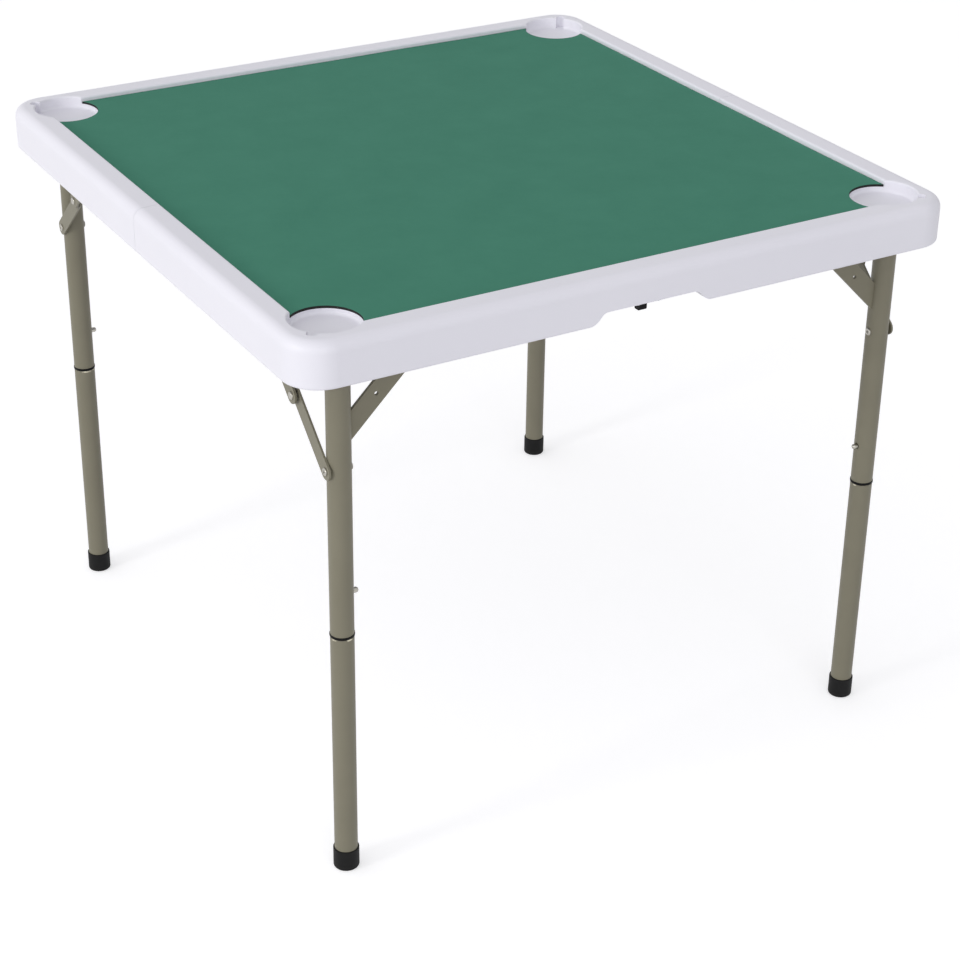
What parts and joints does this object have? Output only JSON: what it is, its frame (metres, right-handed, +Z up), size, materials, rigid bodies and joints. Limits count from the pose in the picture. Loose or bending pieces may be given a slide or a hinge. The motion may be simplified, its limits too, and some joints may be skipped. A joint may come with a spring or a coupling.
{
  "type": "folding game table",
  "caption": "Square folding game table: hinged white moulded halves, loose green mat, corner cup recesses, folding leg frames with plug-in lower legs, braces, latch and carrying handle.",
  "frame": {"origin": "on the floor under the middle of the table, between the two halves", "axes": "+X along the fold line, -Y towards the half with the latch, +Y towards the half with the handle, +Z up"},
  "size_m": [0.88, 0.88, 0.715],
  "materials": {
    "white_moulding": "satin polyethylene",
    "green_mat": "smooth fabric-faced mat, black underneath",
    "black_rubber": "matt",
    "black_plastic": "satin",
    "bright_button": "polished",
    "zinc_steel": "zinc plated",
    "grey_leg_paint": "warm grey powder coat"
  },
  "bodies": {
    "front_half": {"front_top_half": "white_moulding", "front_hinge_leaves": "zinc_steel", "front_crossbar_saddles": "zinc_steel", "front_brace_brackets": "zinc_steel", "front_bracket_rivets": "zinc_steel", "front_screws": "zinc_steel", "hinge_pins": "zinc_steel", "latch_base": "black_plastic"},
    "rear_half": {"rear_top_half": "white_moulding", "rear_hinge_leaves": "zinc_steel", "rear_crossbar_saddles": "zinc_steel", "rear_brace_brackets": "zinc_steel", "rear_bracket_rivets": "zinc_steel", "rear_screws": "zinc_steel", "handle_base": "black_plastic"},
    "mat": {"playing_mat": "green_mat"},
    "front_frame": {"front_crossbar": "grey_leg_paint", "front_left_upper_leg": "grey_leg_paint", "front_right_upper_leg": "grey_leg_paint", "front_corner_struts": "grey_leg_paint", "front_leg_collars": "black_plastic", "front_leg_rivets": "zinc_steel"},
    "rear_frame": {"rear_crossbar": "grey_leg_paint", "rear_left_upper_leg": "grey_leg_paint", "rear_right_upper_leg": "grey_leg_paint", "rear_corner_struts": "grey_leg_paint", "rear_leg_collars": "black_plastic", "rear_leg_rivets": "zinc_steel"},
    "front_left_leg": {"front_left_lower_leg": "grey_leg_paint", "front_left_foot": "black_rubber", "front_left_button_spring": "zinc_steel"},
    "front_left_button": {"front_left_snap_button": "bright_button"},
    "front_left_lower_brace": {"front_left_lower_link": "grey_leg_paint"},
    "front_left_upper_brace": {"front_left_upper_link": "grey_leg_paint", "front_left_knuckle_rivet": "zinc_steel"},
    "front_right_leg": {"front_right_lower_leg": "grey_leg_paint", "front_right_foot": "black_rubber", "front_right_button_spring": "zinc_steel"},
    "front_right_button": {"front_right_snap_button": "bright_button"},
    "front_right_lower_brace": {"front_right_lower_link": "grey_leg_paint"},
    "front_right_upper_brace": {"front_right_upper_link": "grey_leg_paint", "front_right_knuckle_rivet": "zinc_steel"},
    "rear_left_leg": {"rear_left_lower_leg": "grey_leg_paint", "rear_left_foot": "black_rubber", "rear_left_button_spring": "zinc_steel"},
    "rear_left_button": {"rear_left_snap_button": "bright_button"},
    "rear_left_lower_brace": {"rear_left_lower_link": "grey_leg_paint"},
    "rear_left_upper_brace": {"rear_left_upper_link": "grey_leg_paint", "rear_left_knuckle_rivet": "zinc_steel"},
    "rear_right_leg": {"rear_right_lower_leg": "grey_leg_paint", "rear_right_foot": "black_rubber", "rear_right_button_spring": "zinc_steel"},
    "rear_right_button": {"rear_right_snap_button": "bright_button"},
    "rear_right_lower_brace": {"rear_right_lower_link": "grey_leg_paint"},
    "rear_right_upper_brace": {"rear_right_upper_link": "grey_leg_paint", "rear_right_knuckle_rivet": "zinc_steel"},
    "handle": {"carrying_handle": "black_plastic", "handle_pins": "zinc_steel"},
    "latch": {"latch_hook": "black_plastic", "latch_pin": "zinc_steel"}
  },
  "joints": [
    {"name": "table_fold", "type": "hinge", "parent": "front_half", "child": "rear_half", "pos_m": [0, 0, 0.66], "axis": [1, 0, 0], "range_deg": [-50, 0]},
    {"name": "front_leg_fold", "type": "hinge", "parent": "front_half", "child": "front_frame", "pos_m": [0, -0.396, 0.6755], "axis": [1, 0, 0], "range_deg": [0, 90]},
    {"name": "rear_leg_fold", "type": "hinge", "parent": "rear_half", "child": "rear_frame", "pos_m": [0, 0.396, 0.6755], "axis": [-1, 0, 0], "range_deg": [0, 90]},
    {"name": "front_left_leg_pull", "type": "slide", "parent": "front_frame", "child": "front_left_leg", "axis": [0, 0, -1], "range_m": [0, 0.6]},
    {"name": "front_left_button_press", "type": "slide", "parent": "front_left_leg", "child": "front_left_button", "axis": [-1, 0, 0], "range_m": [0, 0.007], "stiffness_N_per_m": 700, "springref_m": -0.004, "deforming": ["front_left_button_spring"]},
    {"name": "front_left_lower_brace_turn", "type": "hinge", "parent": "front_frame", "child": "front_left_lower_brace", "pos_m": [0, -0.396, 0.54], "axis": [1, 0, 0], "range_deg": [0, 47.53]},
    {"name": "front_left_upper_brace_turn", "type": "hinge", "parent": "front_half", "child": "front_left_upper_brace", "pos_m": [0, -0.248, 0.6755], "axis": [1, 0, 0], "range_deg": [-42.49, 0]},
    {"name": "front_right_leg_pull", "type": "slide", "parent": "front_frame", "child": "front_right_leg", "axis": [0, 0, -1], "range_m": [0, 0.6]},
    {"name": "front_right_button_press", "type": "slide", "parent": "front_right_leg", "child": "front_right_button", "axis": [1, 0, 0], "range_m": [0, 0.007], "stiffness_N_per_m": 700, "springref_m": -0.004, "deforming": ["front_right_button_spring"]},
    {"name": "front_right_lower_brace_turn", "type": "hinge", "parent": "front_frame", "child": "front_right_lower_brace", "pos_m": [0, -0.396, 0.54], "axis": [1, 0, 0], "range_deg": [0, 47.53]},
    {"name": "front_right_upper_brace_turn", "type": "hinge", "parent": "front_half", "child": "front_right_upper_brace", "pos_m": [0, -0.248, 0.6755], "axis": [1, 0, 0], "range_deg": [-42.49, 0]},
    {"name": "rear_left_leg_pull", "type": "slide", "parent": "rear_frame", "child": "rear_left_leg", "axis": [0, 0, -1], "range_m": [0, 0.6]},
    {"name": "rear_left_button_press", "type": "slide", "parent": "rear_left_leg", "child": "rear_left_button", "axis": [-1, 0, 0], "range_m": [0, 0.007], "stiffness_N_per_m": 700, "springref_m": -0.004, "deforming": ["rear_left_button_spring"]},
    {"name": "rear_left_lower_brace_turn", "type": "hinge", "parent": "rear_frame", "child": "rear_left_lower_brace", "pos_m": [0, 0.396, 0.54], "axis": [-1, 0, 0], "range_deg": [0, 47.53]},
    {"name": "rear_left_upper_brace_turn", "type": "hinge", "parent": "rear_half", "child": "rear_left_upper_brace", "pos_m": [0, 0.248, 0.6755], "axis": [-1, 0, 0], "range_deg": [-42.49, 0]},
    {"name": "rear_right_leg_pull", "type": "slide", "parent": "rear_frame", "child": "rear_right_leg", "axis": [0, 0, -1], "range_m": [0, 0.6]},
    {"name": "rear_right_button_press", "type": "slide", "parent": "rear_right_leg", "child": "rear_right_button", "axis": [1, 0, 0], "range_m": [0, 0.007], "stiffness_N_per_m": 700, "springref_m": -0.004, "deforming": ["rear_right_button_spring"]},
    {"name": "rear_right_lower_brace_turn", "type": "hinge", "parent": "rear_frame", "child": "rear_right_lower_brace", "pos_m": [0, 0.396, 0.54], "axis": [-1, 0, 0], "range_deg": [0, 47.53]},
    {"name": "rear_right_upper_brace_turn", "type": "hinge", "parent": "rear_half", "child": "rear_right_upper_brace", "pos_m": [0, 0.248, 0.6755], "axis": [-1, 0, 0], "range_deg": [-42.49, 0]},
    {"name": "mat_lift", "type": "slide", "parent": "front_half", "child": "mat", "axis": [0, 0, 1], "range_m": [0, 0.15]},
    {"name": "handle_swing", "type": "hinge", "parent": "rear_half", "child": "handle", "pos_m": [0, 0.43, 0.6665], "axis": [1, 0, 0], "range_deg": [-60, 90]},
    {"name": "latch_swing", "type": "hinge", "parent": "front_half", "child": "latch", "pos_m": [0, -0.419, 0.6675], "axis": [1, 0, 0], "range_deg": [-40, 40]}
  ],
  "couplings": [
    {"joint": "front_left_lower_brace_turn", "follows": "front_leg_fold", "ratio": 0.52805},
    {"joint": "front_left_upper_brace_turn", "follows": "front_leg_fold", "ratio": -0.47195},
    {"joint": "front_right_lower_brace_turn", "follows": "front_leg_fold", "ratio": 0.52805},
    {"joint": "front_right_upper_brace_turn", "follows": "front_leg_fold", "ratio": -0.47195},
    {"joint": "rear_left_lower_brace_turn", "follows": "rear_leg_fold", "ratio": 0.52805},
    {"joint": "rear_left_upper_brace_turn", "follows": "rear_leg_fold", "ratio": -0.47195},
    {"joint": "rear_right_lower_brace_turn", "follows": "rear_leg_fold", "ratio": 0.52805},
    {"joint": "rear_right_upper_brace_turn", "follows": "rear_leg_fold", "ratio": -0.47195}
  ]
}
